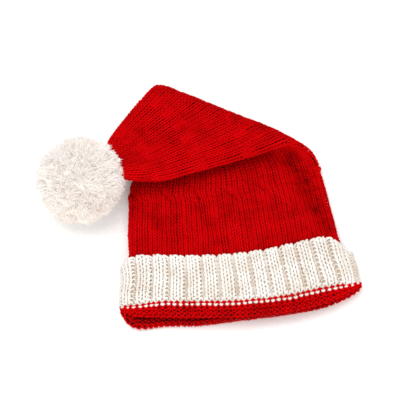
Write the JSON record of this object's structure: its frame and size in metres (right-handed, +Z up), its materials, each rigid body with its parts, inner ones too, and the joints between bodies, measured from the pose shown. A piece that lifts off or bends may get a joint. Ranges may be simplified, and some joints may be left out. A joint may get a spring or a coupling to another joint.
{
  "type": "santa hat",
  "caption": "Knitted santa hat lying on its back: red bag with its top folded over the front, white ribbed turn-up round the open mouth, white yarn pompom on the tip.",
  "frame": {"origin": "on the floor, on the bag's flat underside below the hat's long axis, 95 mm up the hat from the ends of its mouth", "axes": "+Z up, out of the hat's front as it lies on its back; +Y up the hat from the mouth towards the fold; +X to the right in the picture, the side away from the pompom"},
  "size_m": [0.3036, 0.2576, 0.0798],
  "materials": {
    "red_wool": "matt stocking-stitch knit",
    "white_wool": "matt two-by-one rib knit",
    "white_yarn": "loose cut yarn ends"
  },
  "bodies": {
    "root": {"crown": "red_wool", "cuff": "white_wool", "pompom": "white_yarn"}
  },
  "joints": []
}
